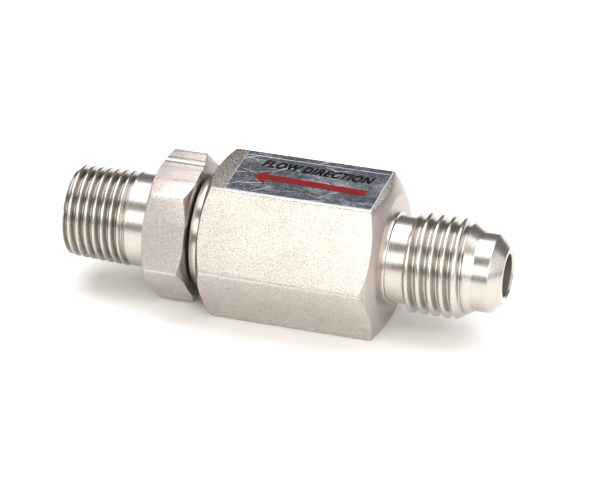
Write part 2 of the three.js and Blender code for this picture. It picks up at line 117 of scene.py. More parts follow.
class ValveSizes(bpy.types.PropertyGroup):
    """Sizes of the valve's outside."""

    hex_length: length("Body hexagon", "Length of the body's hexagon", 19.8)
    edge_radius: length("Edge radius", "Rounding of a hexagon's long edges", 0.35)
    chamfer_angle: angle("Chamfer", "Angle between a hexagon's turned corners and its end", 29)
    inlet_chamfer: length("Inlet chamfer", "Depth of the body's chamfer at the flare end", 1.25)
    joint_chamfer: length("Joint chamfer", "Depth of the body's chamfer at the joint", 0.89)
    collar_length: length("Collar", "Length of the round collar at the joint", 1.25)
    collar_radius: length("Collar radius", "Radius of the round collar", 6.1)
    neck_length: length("Neck", "Length of the plain neck under the flare thread", 2.2)
    flare_pitch: length("Flare pitch", "Pitch of the flare thread", 1.27)
    flare_thread: length("Flare thread", "Length of the flare thread", 6.9)
    flare_depth: length("Flare thread depth", "Crest to root of the flare thread", 0.775)
    flare_crest: length("Flare crest", "Radius over the crests of the flare thread", 5.43)
    nose_radius: length("Nose radius", "Radius of the plain nose", 4.25)
    cone_length: length("Cone", "Length of the 45 degree sealing cone", 1.3)
    inlet_bore: length("Inlet bore", "Radius of the bore at the flare end", 2.3)
    outlet_bore: length("Outlet bore", "Radius of the bore at the pipe end", 2.6)
    connector_flats: length("Connector flats", "Smaller hexagon across its flats", 14.2875)
    connector_turn: angle("Connector turn", "Turn of the smaller hexagon about the flow axis", 9.5)
    connector_length: length("Connector hexagon", "Length of the smaller hexagon", 4.7)
    connector_chamfer: length("Connector chamfer", "Chamfer of the smaller hexagon", 0.6)
    joint_gap: length("Joint gap", "Gap between the smaller hexagon and the collar", 0.25)
    shank_radius: length("Shank radius", "Radius of the plain shank", 5.07)
    pipe_pitch: length("Pipe pitch", "Pitch of the pipe thread", 0.9407)
    pipe_thread: length("Pipe thread", "Length of the pipe thread", 7.2)
    pipe_depth: length("Pipe thread depth", "Crest to root of the pipe thread", 0.66)
    pipe_crest: length("Pipe crest", "Radius over the first crest of the pipe thread", 4.95)
    plug_radius: length("Plug radius", "Radius over the thread that joins the halves", 4.75)
    plug_thread: length("Plug thread", "Length of the thread that joins the halves", 6.2)
    plug_depth: length("Plug thread depth", "Crest to root of the joining thread", 0.55)
    gland_radius: length("Gland radius", "Radius of the recess that holds the joint's seal", 5.3)
    bore_edge: length("Bore edge", "Chamfer of a bore at its end face", 0.25)
    chamber_radius: length("Chamber radius", "Radius of the chamber for the first stage", 4.2)
    thread_relief: length("Thread relief", "Free depth past the end of the joining thread", 0.3)


class StageSizes(bpy.types.PropertyGroup):
    """Sizes of the two check stages inside."""

    first_bore: length("First bore", "Radius of the first seat's bore", 2.2)
    second_bore: length("Second bore", "Radius of the second seat's bore", 1.5)
    first_stem: length("First stem", "Radius of the first poppet's stem", 0.9)
    second_stem: length("Second stem", "Radius of the second poppet's stem", 0.75)
    first_wire: length("First wire", "Radius of the first spring's wire", 0.125)
    second_wire: length("Second wire", "Radius of the second spring's wire", 0.11)
    lip_height: length("Lip height", "Height of a seat's sealing lip", 0.25)
    lip_width: length("Lip width", "Width of a seat's sealing lip", 0.4)
    ring_section: length("Ring section", "Section radius of a seat's ring", 0.4)
    skirt_wall: length("Skirt", "Wall of a cage's skirt", 0.4)
    web: length("Web", "Thickness of a cage's web", 1.2)
    stem_clearance: length("Stem clearance", "Gap round a stem in its guide", 0.1)
    travel: length("Travel", "How far a poppet lifts", 1.2)
    head: length("Head", "Thickness of a poppet's head", 1.4)
    seal: length("Seal", "Thickness of a poppet's seal", 0.8)
    rim_setback: length("Rim", "How far a head's rim stands behind its seal", 0.2)
    rivet_depth: length("Rivet", "How deep a rivet goes into its poppet", 2.0)


class ValveColours(bpy.types.PropertyGroup):
    """Colours of the valve."""

    steel: colour("Steel", "Stainless steel", 0.605, 0.556, 0.53)
    steel_dull: colour("Dull steel", "Stainless steel in the grain's hollows", 0.345, 0.30, 0.275)
    steel_turned: colour("Turned steel", "Stainless steel where it was turned", 0.61, 0.575, 0.535)
    foil: colour("Foil", "Label foil", 0.32, 0.345, 0.40)
    foil_pale: colour("Scuffed foil", "Label foil where it is scuffed", 0.62, 0.66, 0.74)
    # The bore colour is painted shade for the inside of a drilled bore.
    bore: colour("Bore", "Steel inside a drilled bore", 0.17, 0.145, 0.115)
    red_ink: colour("Red ink", "Arrow", 0.145, 0.010, 0.010)
    black_ink: colour("Black ink", "Lettering", 0.002, 0.002, 0.0022)
    rubber: colour("Rubber", "Seals", 0.018, 0.017, 0.016)
    poppet: colour("Poppet", "Moulded poppets", 0.80, 0.77, 0.68)
    cage: colour("Cage", "Moulded cages", 0.05, 0.11, 0.18)
    floor: colour("Floor", "Floor", 0.93, 0.925, 0.915)


# ---- shader graphs ----


class Value:
    """A number that varies over a surface: arithmetic on it adds Math nodes."""

    def __init__(self, graph, socket):
        self.graph = graph
        self.socket = socket

    def math(self, operation, *others):
        node = self.graph.node(
            "ShaderNodeMath", {"operation": operation}, dict(enumerate((self, *others)))
        )
        return Value(self.graph, node.outputs[0])

    def __add__(self, other):
        return self.math("ADD", other)

    __radd__ = __add__

    def __mul__(self, other):
        return self.math("MULTIPLY", other)

    __rmul__ = __mul__

    def __sub__(self, other):
        return self.math("SUBTRACT", other)

    def __rsub__(self, other):
        return (self * -1.0) + other

    def __pow__(self, other):
        return self.math("POWER", other)

    def __abs__(self):
        return self.math("ABSOLUTE")

    def rise(self, low, high):
        """0 below low, 1 above high, and a smooth step between them."""
        node = self.graph.node(
            "ShaderNodeMapRange",
            {"interpolation_type": "SMOOTHSTEP"},
            {"Value": self, "From Min": low, "From Max": high},
        )
        return Value(self.graph, node.outputs["Result"])


class Graph:
    """A material's node graph round one Principled shader."""

    def __init__(self, name):
        self.colours = bpy.context.scene.valve_colours
        self.material = bpy.data.materials.new(name)
        self.material.use_nodes = True
        self.tree = self.material.node_tree
        self.tree.nodes.clear()
        self.shader = self.node("ShaderNodeBsdfPrincipled")
        self.node("ShaderNodeOutputMaterial", inputs={"Surface": self.shader.outputs[0]})
        self.place = self.node("ShaderNodeTexCoord").outputs["Object"]
        split = self.node("ShaderNodeSeparateXYZ", inputs={0: self.place})
        self.x, self.y, self.z = (Value(self, output) for output in split.outputs)

    def node(self, kind, settings=None, inputs=None):
        made = self.tree.nodes.new(kind)
        for key, value in (settings or {}).items():
            setattr(made, key, value)
        for key, value in (inputs or {}).items():
            self.connect(made.inputs[key], value)
        return made

    def connect(self, socket, value):
        source = value.socket if isinstance(value, Value) else value
        if isinstance(source, bpy.types.NodeSocket):
            self.tree.links.new(source, socket)
        else:
            socket.default_value = source

    def noise(self, scale, detail=2.0, stretch=(1, 1, 1), roughness=0.55):
        """Noise whose cells are about 1/scale metres, longer along an axis with a small stretch."""
        mapping = self.node("ShaderNodeMapping", inputs={0: self.place, "Scale": stretch})
        node = self.node(
            "ShaderNodeTexNoise",
            inputs={
                "Vector": mapping.outputs[0],
                "Scale": scale,
                "Detail": detail,
                "Roughness": roughness,
            },
        )
        return Value(self, node.outputs[0])

    def scratch(self, degrees, threshold):
        """Long thin scratches that run at an angle across the top."""
        mapping = self.node(
            "ShaderNodeMapping",
            {"vector_type": "TEXTURE"},
            {0: self.place, "Rotation": (0, 0, math.radians(degrees)), "Scale": (22, 1, 1)},
        )
        node = self.node(
            "ShaderNodeTexNoise",
            inputs={"Vector": mapping.outputs[0], "Scale": 4200, "Detail": 1.0},
        )
        return Value(self, node.outputs[0]).rise(threshold, threshold + 0.05)

    def blend(self, factor, first, second):
        """A colour between two colours."""
        node = self.node("ShaderNodeMix", {"data_type": "RGBA"}, {0: factor, 6: first, 7: second})
        return node.outputs[2]

    def bump(self, height, strength, distance):
        node = self.node(
            "ShaderNodeBump", inputs={"Height": height, "Strength": strength, "Distance": distance}
        )
        return node.outputs[0]

    def facing(self):
        """The three parts of the direction that the surface faces."""
        geometry = self.node("ShaderNodeNewGeometry")
        split = self.node("ShaderNodeSeparateXYZ", inputs={0: geometry.outputs["True Normal"]})
        return [Value(self, output) for output in split.outputs]

    def finish(self, **sockets):
        for name, value in sockets.items():
            self.connect(self.shader.inputs[name.replace("_", " ")], value)
        return self.material


def opaque(rgb, share=1.0):
    """A colour property as a shader colour, made darker or paler by a share."""
    return (*(part * share for part in rgb), 1.0)


def drawn_steel(name, seam_turn=None):
    """Pickled bar: a fine speckled grain, faint lines along the bar, and turned ends.

    The flat that faces up gets stronger, darker specks in its colour as painted shade, and more
    bump and glints in its roughness. With a seam_turn, the flat that faces that way from the flow
    axis has a rolled-in seam: a groove and a ridge in the bump, with painted shade in the groove
    and a painted highlight on the ridge.
    """
    g = Graph(name)
    grain = g.noise(6800, 3.0, roughness=0.7)
    fine = g.noise(12000, 2.0)
    lines = g.noise(3200, 2.0, stretch=(0.03, 1, 1))
    clouds = g.noise(260, 3.0)
    rings = g.noise(9000, 2.0, stretch=(1, 0.01, 0.01)) * 0.6 + 0.25
    along, _, upward = g.facing()
    ends = abs(along).rise(0.25, 0.45)
    # This mask marks the flat that faces up. Its colour gets painted shade there, and its bump and
    # roughness get more grain and glints.
    scuffed = upward.rise(0.99, 0.999)
    specks = grain.rise(0.46, 0.68) * 0.75 + fine.rise(0.5, 0.7) * 0.3
    # On the flat that faces up, the specks are painted stronger and darker as shade.
    flat = specks * (1 + scuffed * 1.2) + (lines - 0.5) * 0.12 + (clouds - 0.5) * 0.5
    texture = ends * rings + (1 - ends) * flat
    relief = (grain * 0.7 + fine * 0.3) * (1 + scuffed * 0.5) + lines * 0.15
    glints = g.noise(5200, 2.0).rise(0.55, 0.63) * scuffed
    if seam_turn is not None:
        face, groove_at, ridge_at = 7.0 * MM, 1.92 * MM, 2.42 * MM
        cosine, sine = math.cos(seam_turn), math.sin(seam_turn)
        on_flat = (g.y * cosine + g.z * sine).rise(face - 0.1 * MM, face)
        across = g.z * cosine - g.y * sine + (clouds - 0.5) * 0.2 * MM
        groove = on_flat * (1 - abs(across + groove_at).rise(0.05 * MM, 0.22 * MM))
        ridge = on_flat * (1 - abs(across + ridge_at).rise(0.1 * MM, 0.35 * MM))
        # Painted shade in the groove and a painted highlight on the ridge; the relief below gives
        # the seam its real bump.
        texture = texture + groove * 0.6 - ridge * 0.3
        relief = relief + ridge * 0.5 - groove * 0.8
    pale, dull = opaque(g.colours.steel), opaque(g.colours.steel_dull)
    return g.finish(
        Base_Color=g.blend(texture.rise(-0.1, 1.1), pale, dull),
        Metallic=1.0,
        Roughness=0.24 + texture * (1 - scuffed * 0.9) * 0.2 + glints * 0.22,
        Normal=g.bump(relief, 0.55, 0.08 * MM),
    )


def turned_steel(name, bored=0.0, crest=0.0, taper=0.0, depth=0.0, span=None, dulled=1.0):
    """Steel straight off the lathe: fine rings round the flow axis; inside a drilled bore it is
    rougher and has painted shade.

    With a span, a thread's valleys get painted shade there, darkened to the share dulled of
    the steel's colour. Its crest is the radius over the crests at the outlet end, and taper is
    how fast that radius grows.
    """
    g = Graph(name)
    rings = g.noise(12000, 2.0, stretch=(1, 0.02, 0.02))
    bands = g.noise(1800, 1.0, stretch=(1, 0.02, 0.02))
    specks = g.noise(5200, 3.0)
    clouds = g.noise(420, 3.0)
    radius = (g.y * g.y + g.z * g.z) ** 0.5
    # Inside a bore the steel is rougher and is painted with the bore colour as shade.
    inside = 1 - radius.rise(bored, bored + 0.05 * MM)
    tone = rings * 0.5 + specks.rise(0.35, 0.65) * 0.5
    steel = g.colours.steel_turned
    outer = g.blend(tone, opaque(steel, 0.82), opaque(steel))
    if span:
        first, last = span
        fade = 0.5 * MM
        below = (g.x - CONNECTOR_LOW.x) * taper + crest - radius
        cut = g.x.rise(first, first + fade) * (1 - g.x.rise(last - fade, last))
        # Painted shade in the thread's valleys, darkest towards the roots and faded in and out at
        # the span's ends.
        valley_shade = below.rise(depth * 0.2, depth * 0.95) * cut
        outer = g.blend(valley_shade, outer, opaque(steel, dulled))
    return g.finish(
        Base_Color=g.blend(inside, outer, opaque(g.colours.bore)),
        Metallic=1.0,
        Roughness=0.17 + bands * 0.08 + clouds * 0.1 + inside * 0.3,
        Normal=g.bump(rings * 0.6 + specks * 0.4, 0.2, 0.02 * MM),
    )


def label_border(name):
    """The pale laminated edge of the label."""
    g = Graph(name)
    scuffs = g.noise(2600, 3.0)
    foil = g.colours.foil_pale
    return g.finish(
        Base_Color=g.blend(scuffs, opaque(foil), opaque(foil, 1.3)),
        Metallic=0.6,
        Roughness=0.3 + scuffs * 0.25,
        Normal=g.bump(scuffs, 0.2, 0.02 * MM),
    )


def mirror_foil(name):
    """Metal foil: a cloudy mirror with pale smears, fine scratches, specks and one overlap."""
    g = Graph(name)
    scratches = g.scratch(14, 0.70) + g.scratch(-21, 0.71) + g.scratch(38, 0.72)
    specks = g.noise(5200, 2.0).rise(0.62, 0.72)
    smears = g.noise(300, 4.0, stretch=(0.6, 1.4, 1)).rise(0.42, 0.7)
    haze = g.noise(1700, 4.0, roughness=0.7)
    waves = g.noise(150, 2.0)
    overlap_y = LABEL_HIGH.y - 0.95 * MM
    drift = (waves - 0.5) * 0.2 * MM
    overlap = 1 - abs(g.y + drift - overlap_y).rise(0.03 * MM, 0.1 * MM)
    marks = scratches * 0.6 + specks * 0.5 + overlap * 0.7
    wear = (marks + smears * 0.35 + (haze - 0.4) * 1.1).rise(-0.1, 1.1)
    return g.finish(
        Base_Color=g.blend(wear, opaque(g.colours.foil), opaque(g.colours.foil_pale)),
        Metallic=1.0,
        Roughness=0.2 + wear * 0.4,
        Normal=g.bump(waves + wear * 0.03, 0.25, 0.2 * MM),
    )


def ink(name, rgb):
    """Printed ink, a little rubbed."""
    g = Graph(name)
    rub = g.noise(3600, 3.0).rise(0.56, 0.74)
    tone = g.noise(700, 2.0)
    pale = tuple(min(1.0, part * 1.4 + 0.003) for part in rgb) + (1.0,)
    return g.finish(
        Base_Color=g.blend(rub * 0.7 + tone * 0.15, opaque(rgb), pale),
        Specular_IOR_Level=0.1,
        Roughness=0.3 + tone * 0.15,
        Normal=g.bump(tone, 0.1, 0.02 * MM),
    )


def seal_rubber(name):
    """Moulded rubber with a faint bloom."""
    g = Graph(name)
    bloom = g.noise(1500, 4.0)
    pores = g.noise(9000, 2.0)
    return g.finish(
        Base_Color=g.blend(bloom * 0.5, opaque(g.colours.rubber), opaque(g.colours.rubber, 3.0)),
        Roughness=0.55 + bloom * 0.3,
        Normal=g.bump(pores, 0.2, 0.02 * MM),
    )


def moulded_plastic(name, rgb):
    """Moulded plastic: flow marks and a fine spark-eroded skin."""
    g = Graph(name)
    skin = g.noise(8000, 2.0)
    flow = g.noise(500, 3.0, stretch=(0.3, 1, 1))
    return g.finish(
        Base_Color=g.blend(flow, opaque(rgb, 0.86), opaque(rgb)),
        Roughness=0.38 + flow * 0.18 + skin * 0.08,
        Normal=g.bump(skin, 0.15, 0.02 * MM),
    )


def spring_wire(name):
    """Drawn spring wire: long die marks and a slight straw tint."""
    g = Graph(name)
    marks = g.noise(9000, 2.0, stretch=(1, 0.2, 0.2))
    tint = g.noise(700, 2.0)
    dark, pale = opaque(g.colours.steel_turned, 0.7), opaque(g.colours.steel, 0.9)
    return g.finish(
        Base_Color=g.blend(tint, dark, pale),
        Metallic=1.0,
        Roughness=0.22 + marks * 0.16,
        Normal=g.bump(marks, 0.12, 0.01 * MM),
    )


def paper_floor(name):
    """A pale paper sweep."""
    g = Graph(name)
    fibres = g.noise(900, 4.0)
    return g.finish(
        Base_Color=g.blend(fibres, opaque(g.colours.floor, 0.985), opaque(g.colours.floor)),
        Roughness=0.75 + fibres * 0.1,
        Normal=g.bump(fibres, 0.05, 0.02 * MM),
    )


def finish_named(name):
    """The material of that name, made the first time it is asked for."""
    colours = bpy.context.scene.valve_colours
    sizes = bpy.context.scene.valve_sizes
    makers = {
        "drawn_steel": drawn_steel,
        "seamed_steel": lambda name: drawn_steel(name, math.pi / 2 + sizes.connector_turn),
        "turned_steel": turned_steel,
        "inlet_steel": lambda name: turned_steel(name, sizes.inlet_bore + BORE_SHADE_REACH),
        "outlet_steel": lambda name: turned_steel(name, sizes.outlet_bore + BORE_SHADE_REACH),
        # The last figure of the flare and pipe finishes is the share of the steel's colour that
        # their valleys keep under painted shade.
        "flare_steel": lambda name: turned_steel(
            name, 0.0, sizes.flare_crest, 0.0, sizes.flare_depth, flare_span(sizes), 0.75
        ),
        "pipe_steel": lambda name: turned_steel(
            name, 0.0, sizes.pipe_crest, PIPE_TAPER, sizes.pipe_depth, pipe_span(sizes), 0.55
        ),
        "label_border": label_border,
        "mirror_foil": mirror_foil,
        "arrow_ink": lambda name: ink(name, colours.red_ink),
        "lettering_ink": lambda name: ink(name, colours.black_ink),
        "seal_rubber": seal_rubber,
        "pale_moulding": lambda name: moulded_plastic(name, colours.poppet),
        "blue_moulding": lambda name: moulded_plastic(name, colours.cage),
        "spring_wire": spring_wire,
        "paper_floor": paper_floor,
    }
    return bpy.data.materials.get(name) or makers[name](name)


# ---- shaping ----


def meshed(name, shape):
    """A mesh made of a bmesh, which is freed."""
    mesh = bpy.data.meshes.new(name)
    shape.to_mesh(mesh)
    shape.free()
    return mesh


def linked(name, data):
    """An object in the scene that shows a mesh, a text, a light or a camera."""
    made = bpy.data.objects.new(name, data)
    bpy.context.scene.collection.objects.link(made)
    return made


def put(name, shape, finish, slot, node, body=HOUSING, crease=32):
    """Makes a piece of a bmesh, smooth but for its creases, and ties it to the frame."""
    mesh = meshed(name, shape)
    mesh.shade_smooth()
    mesh.set_sharp_from_angle(angle=math.radians(crease))
    mesh.materials.append(finish_named(finish))
    piece = linked(name, mesh)
    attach(piece, body)
    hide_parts(node)
    return piece


def join(shape, other):
    """Adds another bmesh to a shape and frees it."""
    mesh = meshed("joined", other)
    shape.from_mesh(mesh)
    bpy.data.meshes.remove(mesh)


def verts_in(geom):
    return [item for item in geom if isinstance(item, bmesh.types.BMVert)]


def edges_along(shape, axis):
    """The edges whose ends lie apart along an axis, which is 0, 1 or 2."""
    return [e for e in shape.edges if abs(e.verts[0].co[axis] - e.verts[1].co[axis]) > WELD]


def open_edges(shape):
    return [edge for edge in shape.edges if len(edge.link_faces) == 1]


def eased(shape, geom, offset, segments=3, affect="EDGES", clamp=False):
    """Rounds edges, or the corners of an outline."""
    bmesh.ops.bevel(
        shape,
        geom=geom,
        offset=offset,
        offset_type="OFFSET",
        segments=segments,
        profile=0.5,
        affect=affect,
        material=-1,
        clamp_overlap=clamp,
    )


def spun(shape, steps, angle=FULL_TURN, advance=0.0, merge=True, geom=None):
    """Spins lines, or the geometry given, and moves it along by advance at each step."""
    bmesh.ops.spin(
        shape,
        geom=geom or shape.verts[:] + shape.edges[:],
        cent=(0, 0, 0),
        axis=FLOW_AXIS,
        dvec=(advance, 0, 0),
        angle=angle,
        space=Matrix.Identity(4),
        steps=steps,
        use_merge=merge,
        use_normal_flip=False,
        use_duplicate=False,
    )


def healed(shape):
    """Welds the seam and turns the faces outwards."""
    bmesh.ops.remove_doubles(shape, verts=shape.verts, dist=WELD)
    bmesh.ops.dissolve_degenerate(shape, edges=shape.edges, dist=WELD)
    bmesh.ops.recalc_face_normals(shape, faces=shape.faces)
    return shape


def outline(stations, closed):
    """A bmesh that holds one line of [x, radius] or [x, radius, rounding] stations."""
    shape = bmesh.new()
    corners = [shape.verts.new((station[0], station[1], 0)) for station in stations]
    for pair in zip(corners, corners[1:]):
        shape.edges.new(pair)
    if closed:
        shape.edges.new((corners[-1], corners[0]))
    rounded = {}
    for corner, station in zip(corners, stations):
        if len(station) > 2:
            rounded.setdefault(station[2], []).append(corner)
    for rounding, group in rounded.items():
        eased(shape, group, rounding, affect="VERTICES")
    return shape


def turned(stations, closed=True, segments=128):
    """A solid turned about the flow axis."""
    shape = outline(stations, closed)
    spun(shape, segments)
    return healed(shape)


def wire_section(x, radius, section, segments, filled=False):
    """A bmesh that holds a round section, at a radius from the flow axis."""
    shape = bmesh.new()
    place = Matrix.Translation((x, radius, 0))
    bmesh.ops.create_circle(
        shape, cap_ends=filled, segments=segments, radius=section, matrix=place
    )
    return shape


def ring_of(low, high):
    """A ring of round section that fills a box about the flow axis."""
    section = (high.x - low.x) / 2
    shape = wire_section(low.x + section, high.z - section, section, segments=28)
    spun(shape, steps=128)
    return healed(shape)


def set_radius(vert, radius):
    """Moves a vertex straight in or out from the flow axis."""
    scale = radius / math.hypot(vert.co.y, vert.co.z)
    vert.co.y *= scale
    vert.co.z *= scale


def grow_rim(shape, edges, move):
    """Extrudes open edges, applies move to each new vertex, and gives the new open edges."""
    made = bmesh.ops.extrude_edge_only(shape, edges=edges)["geom"]
    for vert in verts_in(made):
        move(vert)
    return [e for e in made if isinstance(e, bmesh.types.BMEdge) and len(e.link_faces) == 1]


def tooth(share):
    """Depth below the crest, as a share, at a share of one pitch: round crests and roots."""
    crest_half, flank = 0.09, 0.37
    slope = min(1.0, max(0.0, (abs(share - 0.5) - crest_half) / flank))
    return slope * slope * (3 - 2 * slope) * 0.6 + slope * 0.4


def threaded(start, end, pitch, depth, crest_at, floor_at, ceiling_at, core, lead=0.0):
    """A right-hand helical thread on a tube of radius core, cut square at start and end.

    floor_at and ceiling_at hold the surface between two radii at each place along the axis,
    which makes the thread run out or starts it on a cone. lead moves the thread along by a
    share of its pitch. The thread is made on a unit radius, with its depth added to that.
    """
    samples, steps = 14, 96
    before, spare = 2, 3
    first = start - (before + lead) * pitch
    stations = [(first + pitch * i / samples, 1 + tooth(i / samples)) for i in range(samples + 1)]
    shape = outline(stations, closed=False)
    spun(shape, steps, advance=pitch / steps, merge=False)
    one_turn = shape.verts[:] + shape.edges[:] + shape.faces[:]
    for index in range(1, math.ceil((end - start) / pitch) + spare):
        copied = bmesh.ops.duplicate(shape, geom=one_turn)["geom"]
        bmesh.ops.translate(shape, verts=verts_in(copied), vec=(index * pitch, 0, 0))
    for vert in shape.verts:
        down = math.hypot(vert.co.y, vert.co.z) - 1
        x = vert.co.x
        radius = crest_at(x) - depth * down
        set_radius(vert, min(max(radius, floor_at(x)), ceiling_at(x)))
    bmesh.ops.remove_doubles(shape, verts=shape.verts, dist=WELD)
    for place, side in ((start, "clear_inner"), (end, "clear_outer")):
        bmesh.ops.bisect_plane(
            shape,
            geom=shape.verts[:] + shape.edges[:] + shape.faces[:],
            dist=WELD,
            plane_co=(place, 0, 0),
            plane_no=FLOW_AXIS,
            **{side: True},
        )
    rims = grow_rim(shape, open_edges(shape), lambda vert: set_radius(vert, core))
    bmesh.ops.bridge_loops(shape, edges=rims)
    return healed(shape)


def hexagon(low, high, flats, turn, chamfers, core, sizes):
    """A hexagonal bar with turned corners at both ends, on a tube of radius core."""
    slope, rounding = sizes.chamfer_angle, sizes.edge_radius
    stand = Matrix(((0, 0, 1, low), (0, 1, 0, 0), (1, 0, 0, 0), (0, 0, 0, 1)))
    shape = bmesh.new()
    bmesh.ops.create_circle(
        shape,
        cap_ends=False,
        segments=6,
        radius=flats / math.sqrt(3),
        matrix=Matrix.Rotation(turn, 4, "X") @ stand,
    )
    grow_rim(shape, shape.edges[:], lambda vert: setattr(vert.co, "x", high))
    eased(shape, edges_along(shape, 0), rounding * math.tan(math.pi / 6), 5)
    sides = [e for e in open_edges(shape) if e.calc_length() > flats / 4]
    bmesh.ops.subdivide_edges(shape, edges=sides, cuts=23, use_grid_fill=True)
    rims = open_edges(shape)
    middle = (low + high) / 2
    corners = [v for e in rims for v in e.verts]
    crown = max(math.hypot(v.co.y, v.co.z) for v in corners)
    circles = [crown - chamfer / math.tan(slope) for chamfer in chamfers]

    def end_of(vert):
        """The nearer end: its place, its circle and the way inwards."""
        return (low, circles[0], 1) if vert.co.x < middle else (high, circles[1], -1)

    for vert in set(corners):
        end, circle, inward = end_of(vert)
        drop = math.hypot(vert.co.y, vert.co.z) - circle
        vert.co.x = end + inward * drop * math.tan(slope)
    arrises = rims[:]

    def to_circle(vert):
        end, circle, _ = end_of(vert)
        set_radius(vert, circle)
        vert.co.x = end

    rims = grow_rim(shape, rims, to_circle)
    arrises += rims
    rims = grow_rim(shape, rims, lambda vert: set_radius(vert, core))
    bmesh.ops.bridge_loops(shape, edges=rims)
    healed(shape)
    eased(shape, [e for e in arrises if e.is_valid], rounding / 6, 2, clamp=True)
    return healed(shape)


# ---- places along the flow axis ----


def hex_span(sizes):
    """Both ends of the body's hexagon."""
    low = BODY_LOW.x + sizes.collar_length
    return low, low + sizes.hex_length


def flare_span(sizes):
    """Both ends of the flare thread."""
    low = hex_span(sizes)[1] + sizes.neck_length
    return low, low + sizes.flare_thread


def connector_span(sizes):
    """Both ends of the smaller hexagon."""
    high = BODY_LOW.x - sizes.joint_gap
    return high - sizes.connector_length, high


def pipe_span(sizes):
    """Both ends of the pipe thread."""
    low = CONNECTOR_LOW.x
    return low, low + sizes.pipe_thread + 0.6 * MM


def plug_span(sizes):
    """Both ends of the thread that joins the halves."""
    low = JOINT_RING_HIGH.x + 0.25 * MM
    return low, low + sizes.plug_thread


# ---- the body ----


def build_body(sizes):
    hex_low, hex_high = hex_span(sizes)
    thread_low, thread_high = flare_span(sizes)
    core = sizes.flare_crest - sizes.flare_depth
    chamfers = (sizes.joint_chamfer, sizes.inlet_chamfer)
    shape = hexagon(hex_low, hex_high, FLATS, 0.0, chamfers, core - LAP, sizes)
    put("body_hexagon", shape, "drawn_steel", *BODY, crease=HEX_CREASE)
    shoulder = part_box("first_seat")[1].x
    relief = plug_span(sizes)[1] + sizes.thread_relief
    bored = sizes.plug_radius + SLIP
    wall = bored + 0.6 * MM
    foot = core + 0.34 * MM
    neck = core + 0.02 * MM
    under_thread = core - 0.1 * MM
    stations = [
        (BODY_LOW.x, sizes.collar_radius, 0.08 * MM),
        (hex_low + LAP, sizes.collar_radius),
        (hex_low + LAP, wall),
        (hex_high - LAP, wall),
        (hex_high - LAP, foot),
        (hex_high + 0.26 * MM, foot, 0.09 * MM),
        (hex_high + 0.32 * MM, neck, 0.05 * MM),
        (thread_low + 0.1 * MM, neck),
        (thread_low + TUCK, under_thread),
        (thread_high - TUCK, under_thread),
        (thread_high, sizes.nose_radius),
        (BODY_HIGH.x - sizes.cone_length, sizes.nose_radius, 0.06 * MM),
        (BODY_HIGH.x, sizes.nose_radius - sizes.cone_length, 0.08 * MM),
        (BODY_HIGH.x, sizes.inlet_bore + sizes.bore_edge, 0.05 * MM),
        (BODY_HIGH.x - sizes.bore_edge, sizes.inlet_bore, 0.05 * MM),
        (shoulder, sizes.inlet_bore),
        (shoulder, sizes.chamber_radius),
        (relief, sizes.chamber_radius),
        (relief, bored),
        (JOINT_RING_HIGH.x, bored),
        (JOINT_RING_HIGH.x, sizes.gland_radius),
        (BODY_LOW.x, sizes.gland_radius, 0.06 * MM),
    ]
    put("body_core", turned(stations), "inlet_steel", *BODY)
    tip = thread_high + 0.45 * MM
    cone = sizes.nose_radius + 0.02 * MM
    run_out, lead_in, root_lead_in = 2.2, 0.62, 0.6
    shape = threaded(
        thread_low - SLIP,
        tip,
        sizes.flare_pitch,
        sizes.flare_depth,
        lambda x: sizes.flare_crest,
        lambda x: min(core, cone + max(0.0, tip - x) * root_lead_in),
        lambda x: min(
            core + 0.03 * MM + max(0.0, x - thread_low) * run_out,
            cone + max(0.0, tip - x) * lead_in,
            sizes.flare_crest,
        ),
        core - 0.4 * MM,
        lead=0.55,
    )
    put("flare_thread", shape, "flare_steel", *BODY, crease=THREAD_CREASE)


# ---- the outlet connector ----


def build_connector(sizes):
    build_connector_bar(sizes)
    build_pipe_thread(sizes)
    build_joining_thread(sizes)
    shape = ring_of(JOINT_RING_LOW, JOINT_RING_HIGH)
    put("joint_seal", shape, "seal_rubber", "rubber", "connector_o_ring")


def build_connector_bar(sizes):
    """The smaller hexagon and the bored bar that runs through it."""
    low, high = connector_span(sizes)
    end, thread_end = pipe_span(sizes)
    root = sizes.pipe_crest - sizes.pipe_depth
    chamfers = (sizes.connector_chamfer, sizes.connector_chamfer * 0.83)
    core = sizes.outlet_bore + 1.0 * MM
    flats, turn = sizes.connector_flats, sizes.connector_turn
    shape = hexagon(low, high, flats, turn, chamfers, core, sizes)
    put("connector_hexagon", shape, "seamed_steel", *CONNECTOR, crease=HEX_CREASE)
    plug_low, plug_high = plug_span(sizes)
    neck = sizes.gland_radius - (JOINT_RING_HIGH.x - JOINT_RING_LOW.x)
    cage_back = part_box("second_cage")[0].x
    stage_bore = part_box("second_seat_o_ring")[1].z
    nose_radius = sizes.chamber_radius - SLIP
    under_plug = sizes.plug_radius - sizes.plug_depth - 0.08 * MM
    stations = [
        (end, root, 0.1 * MM),
        (end + 0.4 * MM, root - 0.05 * MM),
        (thread_end - LAP, root),
        (thread_end - 0.25 * MM, sizes.shank_radius),
        (low + TUCK, sizes.shank_radius),
        (low + TUCK, neck),
        (plug_low + TUCK, neck),
        (plug_low + LAP, under_plug),
        (plug_high - LAP, under_plug),
        (plug_high, nose_radius),
        (CONNECTOR_HIGH.x, nose_radius, 0.1 * MM),
        (CONNECTOR_HIGH.x, stage_bore, 0.1 * MM),
        (cage_back, stage_bore),
        (cage_back, sizes.outlet_bore),
        (end + sizes.bore_edge, sizes.outlet_bore, 0.05 * MM),
        (end, sizes.outlet_bore + sizes.bore_edge, 0.05 * MM),
    ]
    put("connector_core", turned(stations), "outlet_steel", *CONNECTOR)


